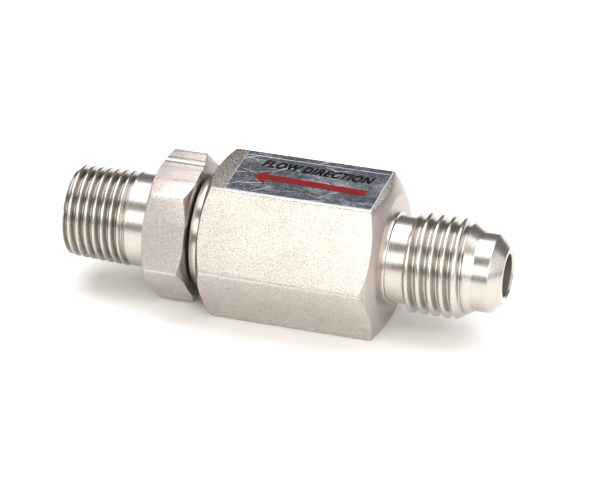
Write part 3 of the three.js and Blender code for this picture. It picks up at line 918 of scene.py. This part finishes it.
def build_pipe_thread(sizes):
    """The taper thread, cut back at its first turn and running out into the shank."""
    end, thread_end = pipe_span(sizes)
    start = end + 0.06 * MM
    root = sizes.pipe_crest - sizes.pipe_depth
    shank = sizes.shank_radius + HAIR
    lead_in, run_out, root_run_out = 1.6, 0.3, 0.42

    def crest(x):
        return sizes.pipe_crest + (x - end) * PIPE_TAPER

    shape = threaded(
        start,
        thread_end,
        sizes.pipe_pitch,
        sizes.pipe_depth,
        crest,
        lambda x: shank - max(0.0, thread_end - 0.15 * MM - x) * root_run_out,
        lambda x: min(
            root + 0.1 * MM + max(0.0, x - start) * lead_in,
            crest(x),
            shank + max(0.0, thread_end - LAP - x) * run_out,
        ),
        root - 0.5 * MM,
    )
    put("pipe_thread", shape, "pipe_steel", *CONNECTOR, crease=THREAD_CREASE)


def build_joining_thread(sizes):
    """The thread that screws the connector into the body."""
    low, high = plug_span(sizes)
    core = sizes.plug_radius - sizes.plug_depth
    shape = threaded(
        low,
        high,
        sizes.flare_pitch * 0.83,
        sizes.plug_depth,
        lambda x: sizes.plug_radius,
        lambda x: core,
        lambda x: min(core + max(0.0, x - low), core + max(0.0, high - x), sizes.plug_radius),
        core - LAP,
    )
    put("joining_thread", shape, "turned_steel", *CONNECTOR, crease=THREAD_CREASE)


# ---- the check stages ----


class Stage:
    """One stage's places and radii, read from its nodes' boxes."""

    def __init__(self, order, sizes):
        self.seat_low, self.seat_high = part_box(f"{order}_seat")
        self.cage_low, self.cage_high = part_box(f"{order}_cage")
        self.poppet_low, self.poppet_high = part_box(f"{order}_poppet")
        self.seal_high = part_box(f"{order}_poppet_seal")[1]
        self.rivet_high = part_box(f"{order}_seal_rivet")[1]
        self.ring_low, self.ring_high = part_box(f"{order}_seat_o_ring")
        self.spring_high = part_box(f"{order}_spring")[1]
        self.bore = getattr(sizes, f"{order}_bore")
        self.stem = getattr(sizes, f"{order}_stem")
        self.wire = getattr(sizes, f"{order}_wire")
        self.web_x = self.cage_low.x + sizes.web
        self.outer = self.cage_high.z
        self.skirt = self.outer - sizes.skirt_wall
        self.hub = self.stem + sizes.stem_clearance
        self.lift = f"{order}_poppet_lift"
        self.group = f"{order}_poppet_group"
        self.order = order


def build_seat(stage, sizes):
    low, high = stage.seat_low.x, stage.seat_high.x
    groove_low, groove_high = stage.ring_low.x, stage.ring_high.x
    floor = stage.ring_high.z - 2 * sizes.ring_section
    lip = stage.bore + sizes.lip_width
    soft = 0.06 * MM
    stations = [
        (high, stage.bore, soft),
        (high, stage.outer, soft),
        (groove_high, stage.outer, soft),
        (groove_high, floor, soft),
        (groove_low, floor, soft),
        (groove_low, stage.outer, soft),
        (low + sizes.lip_height, stage.outer, soft),
        (low + sizes.lip_height, lip + sizes.lip_height, soft),
        (low, lip, soft),
        (low, stage.bore, soft),
    ]
    shape = turned(stations)
    name = f"{stage.order}_seat"
    put(f"{name}_turned", shape, "turned_steel", "seat_steel", name)
    name = f"{stage.order}_seat_o_ring"
    shape = ring_of(stage.ring_low, stage.ring_high)
    put(f"{name}_moulded", shape, "seal_rubber", "rubber", name)


def build_cage(stage, sizes):
    """The cage: six windows between spokes, which join its hub to its skirt."""
    soft = 0.05 * MM
    spokes, spoke_width = 6, 0.55 * MM
    back, web_x = stage.cage_low.x, stage.web_x
    hub_wall = 0.45 * MM
    rim = stage.skirt - 0.12 * MM
    stations = [
        (stage.cage_high.x, stage.skirt, soft),
        (stage.cage_high.x, stage.outer, soft),
        (back, stage.outer, soft),
        (back, rim, soft),
        (web_x, rim, soft),
        (web_x + 0.1 * MM, stage.skirt, soft),
    ]
    skirt = turned(stations)
    stations = [
        (back, stage.hub, soft),
        (back, stage.hub + hub_wall, soft),
        (web_x, stage.hub + hub_wall, soft),
        (web_x, stage.hub, soft),
    ]
    cage = turned(stations, segments=96)
    inner, outer = stage.hub + hub_wall / 2, rim + 0.15 * MM
    centre = Matrix.Translation((back + sizes.web / 2, (inner + outer) / 2, 0))
    for index in range(spokes):
        spoke = bmesh.new()
        bmesh.ops.create_cube(spoke, size=1.0)
        block = (sizes.web * 0.96, outer - inner, spoke_width)
        bmesh.ops.scale(spoke, verts=spoke.verts, vec=block)
        eased(spoke, spoke.edges, soft)
        turn = Matrix.Rotation(FULL_TURN / spokes * index, 4, "X")
        bmesh.ops.transform(spoke, matrix=turn @ centre, verts=spoke.verts)
        join(cage, spoke)
    join(cage, skirt)
    name = f"{stage.order}_cage"
    put(f"{name}_moulded", cage, "blue_moulding", "cage_plastic", name)


def build_poppet(stage, sizes):
    """The poppet, the rubber washer on its face and the rivet that clamps the washer."""
    front = stage.seal_high.x
    back = front - sizes.head
    floor = front - sizes.seal
    rim = front - sizes.rim_setback
    pit = front - sizes.rivet_depth
    stop = stage.web_x + sizes.travel + 0.02 * MM
    collar = stage.stem * 1.5
    head = stage.poppet_high.z
    seal = stage.seal_high.z
    shank = stage.stem * 0.7
    soft = 0.06 * MM
    stations = [
        (stage.poppet_low.x, 0),
        (stage.poppet_low.x, stage.stem, 0.15 * MM),
        (stop, stage.stem, soft),
        (stop, collar, soft),
        (back, collar, 0.1 * MM),
        (back, head, 0.12 * MM),
        (rim, head, soft),
        (rim, seal),
        (floor, seal),
        (floor, shank),
        (pit, shank),
        (pit, 0),
    ]
    shape = turned(stations, closed=False, segments=96)
    name = f"{stage.order}_poppet"
    put(f"{name}_moulded", shape, "pale_moulding", "poppet_plastic", name, stage.group)
    stations = [
        (floor, shank, soft / 2),
        (front, shank, soft / 2),
        (front, seal - HAIR, soft),
        (floor, seal - HAIR, soft / 2),
    ]
    shape = turned(stations, segments=96)
    name = f"{stage.order}_poppet_seal"
    put(f"{name}_moulded", shape, "seal_rubber", "rubber", name, stage.group)
    button, tip = stage.rivet_high.z, stage.rivet_high.x
    rivet_end = pit + 0.02 * MM
    stations = [
        (rivet_end, 0),
        (rivet_end, shank - HAIR, soft),
        (front, shank - HAIR),
        (front, button, soft / 2),
        (front + (tip - front) * 0.45, button, 0.12 * MM),
        (tip, button * 0.45, 0.2 * MM),
        (tip, 0),
    ]
    shape = turned(stations, closed=False, segments=96)
    name = f"{stage.order}_seal_rivet"
    put(f"{name}_turned", shape, "turned_steel", "seat_steel", name, stage.group)


def build_spring(stage, sizes):
    """A coil of round wire whose end turns lie close together."""
    low, high = stage.web_x, stage.seal_high.x - sizes.head
    radius = stage.spring_high.z - stage.wire
    steps, turns, closed_turns = 48, 5.0, 1.0
    shape = wire_section(0, radius, stage.wire, segments=14, filled=True)
    spun(shape, int(steps * turns), FULL_TURN * turns, 1 / steps, False, shape.faces[:])
    end_rise = stage.wire * 2.15
    open_rise = (high - low - 2 * stage.wire - 2 * end_rise * closed_turns) / (turns - 2)
    for vert in shape.verts:
        about = math.atan2(vert.co.z, vert.co.y) / FULL_TURN
        turn = round(vert.co.x - about) + about
        across = vert.co.x - turn
        opened = min(max(turn - closed_turns, 0.0), turns - 2 * closed_turns)
        along = (turn - opened) * end_rise + opened * open_rise
        vert.co.x = low + stage.wire + along + across
    name = f"{stage.order}_spring"
    piece = put(f"{name}_coil", healed(shape), "spring_wire", "spring_steel", name)
    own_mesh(piece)


# ---- the label ----


def sheet_between(low, high, corner):
    """A thin sheet that fills a box, with rounded corners and a softened top."""
    edge = 0.008 * MM
    shape = bmesh.new()
    bmesh.ops.create_cube(shape, size=1.0)
    bmesh.ops.scale(shape, verts=shape.verts, vec=high - low)
    bmesh.ops.translate(shape, verts=shape.verts, vec=(low + high) / 2)
    eased(shape, edges_along(shape, 2), corner, 6)
    top = [e for e in shape.edges if min(v.co.z for v in e.verts) > high.z - WELD]
    eased(shape, top, edge, 2)
    bmesh.ops.recalc_face_normals(shape, faces=shape.faces)
    return shape


def build_label():
    rim = 0.07 * MM
    middle = LABEL_LOW.z + (LABEL_HIGH.z - LABEL_LOW.z) * 0.5
    shape = sheet_between(LABEL_LOW, Vector((LABEL_HIGH.x, LABEL_HIGH.y, middle)), 0.3 * MM)
    put("label_backing", shape, "label_border", *LABEL, crease=LABEL_CREASE)
    foil_low = Vector((LABEL_LOW.x + rim, LABEL_LOW.y + rim, middle))
    foil_high = Vector((LABEL_HIGH.x - rim, LABEL_HIGH.y - rim, LABEL_HIGH.z))
    shape = sheet_between(foil_low, foil_high, 0.25 * MM)
    put("label_foil", shape, "mirror_foil", *LABEL, crease=LABEL_CREASE)
    build_arrow()
    build_word()


def build_arrow():
    """The arrow, its shaft leaning a little as it was printed."""
    neck_x = ARROW_LOW.x + 1.7 * MM
    notch_x = neck_x - 0.25 * MM
    middle = (ARROW_LOW.y + ARROW_HIGH.y) / 2
    half = 0.56 * MM
    lift = 0.22 * MM
    points = [
        (ARROW_LOW.x, middle + lift),
        (neck_x, ARROW_LOW.y + lift / 2),
        (notch_x, middle - half + lift),
        (ARROW_HIGH.x, middle - half - lift),
        (ARROW_HIGH.x, middle + half - lift),
        (notch_x, middle + half + lift),
        (neck_x, ARROW_HIGH.y),
    ]
    shape = bmesh.new()
    face = shape.faces.new([shape.verts.new((x, y, ARROW_LOW.z)) for x, y in points])
    eased(shape, face.verts[:], 0.08 * MM, affect="VERTICES")
    raised = bmesh.ops.extrude_face_region(shape, geom=shape.faces[:])["geom"]
    height = ARROW_HIGH.z - ARROW_LOW.z
    bmesh.ops.translate(shape, verts=verts_in(raised), vec=(0, 0, height))
    bmesh.ops.recalc_face_normals(shape, faces=shape.faces)
    put("arrow_print", shape, "arrow_ink", "red_ink", "flow_arrow")


def build_word():
    """The words FLOW DIRECTION in leaning capitals, fitted to their place on the foil."""
    curve = bpy.data.curves.new("word", "FONT")
    curve.body = "FLOW DIRECTION"
    curve.shear = 0.3
    curve.offset = 0.042
    curve.extrude = 0.5
    curve.space_character = 1.12
    curve.space_word = 0.8
    text = linked("word", curve)
    bpy.context.view_layer.update()
    mesh = bpy.data.meshes.new_from_object(text)
    bpy.data.objects.remove(text)
    bpy.data.curves.remove(curve)
    shape = bmesh.new()
    shape.from_mesh(mesh)
    bpy.data.meshes.remove(mesh)
    bmesh.ops.remove_doubles(shape, verts=shape.verts, dist=1e-5)
    low = Vector([min(v.co[i] for v in shape.verts) for i in range(3)])
    high = Vector([max(v.co[i] for v in shape.verts) for i in range(3)])
    size = WORD_HIGH - WORD_LOW
    scale = Vector([size[i] / (high[i] - low[i]) for i in range(3)])
    bmesh.ops.translate(shape, verts=shape.verts, vec=-(low + high) / 2)
    bmesh.ops.scale(shape, verts=shape.verts, vec=scale)
    lean = Matrix.Rotation(PRINT_LEAN, 4, "Z")
    place = Matrix.Translation((WORD_LOW + WORD_HIGH) / 2)
    bmesh.ops.transform(shape, matrix=place @ lean, verts=shape.verts)
    bmesh.ops.recalc_face_normals(shape, faces=shape.faces)
    put("word_print", shape, "lettering_ink", "black_ink", "flow_word")


# ---- the studio ----


def outwards(azimuth, elevation):
    """A direction out from the valve, in degrees; azimuth 0 is +Y and grows towards -X."""
    turn, rise = math.radians(azimuth), math.radians(elevation)
    level = math.cos(rise)
    return Vector((-math.sin(turn) * level, math.cos(turn) * level, math.sin(rise)))


def aimed(name, data, place, target):
    """A light or camera in its place, pointed at a target and upright."""
    holder = linked(name, data)
    holder.location = place
    holder.rotation_euler = (Vector(target) - place).to_track_quat("-Z", "Y").to_euler()
    return holder


def panel_light(name, azimuth, elevation, distance, width, height, radiance, tint):
    """A rectangular softbox that faces the valve."""
    lamp = bpy.data.lights.new(name, "AREA")
    lamp.shape = "RECTANGLE"
    lamp.size = width
    lamp.size_y = height
    lamp.energy = WATTS_PER_AREA * width * height * radiance
    lamp.color = tint
    aimed(name, lamp, outwards(azimuth, elevation) * distance, (0, 0, 0))


def build_floor():
    shape = bmesh.new()
    bmesh.ops.create_grid(shape, x_segments=8, y_segments=8, size=1.5)
    bmesh.ops.translate(shape, verts=shape.verts, vec=(0, 0, BODY_LOW.z))
    floor = linked("floor", meshed("floor", shape))
    floor.data.materials.append(finish_named("paper_floor"))


def build_lights():
    """A long softbox in front, one overhead, two more at the flare end, and a dim room."""
    panel_light("front_softbox", 165, 32, 0.60, 1.15, 0.27, 2.05, (0.985, 1.0, 0.925))
    panel_light("top_softbox", 0, 78, 0.60, 1.0, 0.64, 2.45, (1.0, 0.98, 0.97))
    panel_light("right_softbox", -132, 32, 0.60, 0.5, 0.5, 2.3, (1.0, 0.97, 0.95))
    panel_light("side_card", -88, 20, 0.55, 0.5, 0.26, 0.85, (1.0, 0.985, 0.98))
    world = bpy.data.worlds.new("studio")
    world.use_nodes = True
    background = world.node_tree.nodes["Background"]
    background.inputs["Color"].default_value = (1.0, 0.965, 0.975, 1.0)
    background.inputs["Strength"].default_value = 0.21
    bpy.context.scene.world = world
    bpy.context.scene.view_settings.view_transform = "Standard"


def build_camera():
    """A long lens, a little to the right of square on and looking down on the valve."""
    azimuth, elevation, distance = 197.0, 30.18, 0.393
    target = Vector((4.25 * MM, 0, 0))
    lens = bpy.data.cameras.new("camera")
    lens.sensor_width = 36.0
    lens.lens = 220.7
    lens.shift_x = -0.0442
    lens.shift_y = 0.0126167
    lens.clip_start = 0.01
    place = target + outwards(azimuth, elevation) * distance
    bpy.context.scene.camera = aimed("camera", lens, place, target)


# ---- operators ----


class VALVE_OT_body(bpy.types.Operator):
    """Builds the body: its hexagon, its bored core and the flare thread"""

    bl_idname = "valve.body"
    bl_label = "Body"

    def execute(self, context):
        build_body(context.scene.valve_sizes)
        return {"FINISHED"}


class VALVE_OT_connector(bpy.types.Operator):
    """Builds the outlet connector, its threads and the joint's seal"""

    bl_idname = "valve.connector"
    bl_label = "Outlet connector"

    def execute(self, context):
        build_connector(context.scene.valve_sizes)
        return {"FINISHED"}


class VALVE_OT_stages(bpy.types.Operator):
    """Builds both check stages: seats, cages, poppets, seals, rivets and springs"""

    bl_idname = "valve.stages"
    bl_label = "Check stages"

    def execute(self, context):
        sizes = context.scene.stage_sizes
        for order in STAGES:
            stage = Stage(order, sizes)
            build_seat(stage, sizes)
            build_cage(stage, sizes)
            build_poppet(stage, sizes)
            build_spring(stage, sizes)
        return {"FINISHED"}


class VALVE_OT_label(bpy.types.Operator):
    """Builds the foil label with its arrow and lettering"""

    bl_idname = "valve.label"
    bl_label = "Flow label"

    def execute(self, context):
        build_label()
        return {"FINISHED"}


class VALVE_OT_studio(bpy.types.Operator):
    """Sets up the floor, the lights and the camera"""

    bl_idname = "valve.studio"
    bl_label = "Studio"

    def execute(self, context):
        build_floor()
        build_lights()
        build_camera()
        return {"FINISHED"}


class VALVE_PT_panel(bpy.types.Panel):
    """The valve's operators, sizes and colours"""

    bl_label = "Check Valve"
    bl_idname = "VALVE_PT_panel"
    bl_space_type = "VIEW_3D"
    bl_region_type = "UI"
    bl_category = "Check Valve"

    def draw(self, context):
        for operator in OPERATORS:
            self.layout.operator(operator.bl_idname)
        for group in (
            context.scene.valve_sizes,
            context.scene.stage_sizes,
            context.scene.valve_colours,
        ):
            for name in group.__annotations__:
                self.layout.prop(group, name)


OPERATORS = (
    VALVE_OT_body,
    VALVE_OT_connector,
    VALVE_OT_stages,
    VALVE_OT_label,
    VALVE_OT_studio,
)
CLASSES = (ValveSizes, StageSizes, ValveColours, *OPERATORS, VALVE_PT_panel)


def register():
    for cls in CLASSES:
        bpy.utils.register_class(cls)
    bpy.types.Scene.valve_sizes = bpy.props.PointerProperty(type=ValveSizes)
    bpy.types.Scene.stage_sizes = bpy.props.PointerProperty(type=StageSizes)
    bpy.types.Scene.valve_colours = bpy.props.PointerProperty(type=ValveColours)


def unregister():
    del bpy.types.Scene.valve_colours
    del bpy.types.Scene.stage_sizes
    del bpy.types.Scene.valve_sizes
    for cls in reversed(CLASSES):
        bpy.utils.unregister_class(cls)


def main():
    register()
    bpy.ops.valve.body()
    bpy.ops.valve.connector()
    bpy.ops.valve.stages()
    bpy.ops.valve.label()
    bpy.ops.valve.studio()


if __name__ == "__main__":
    main()
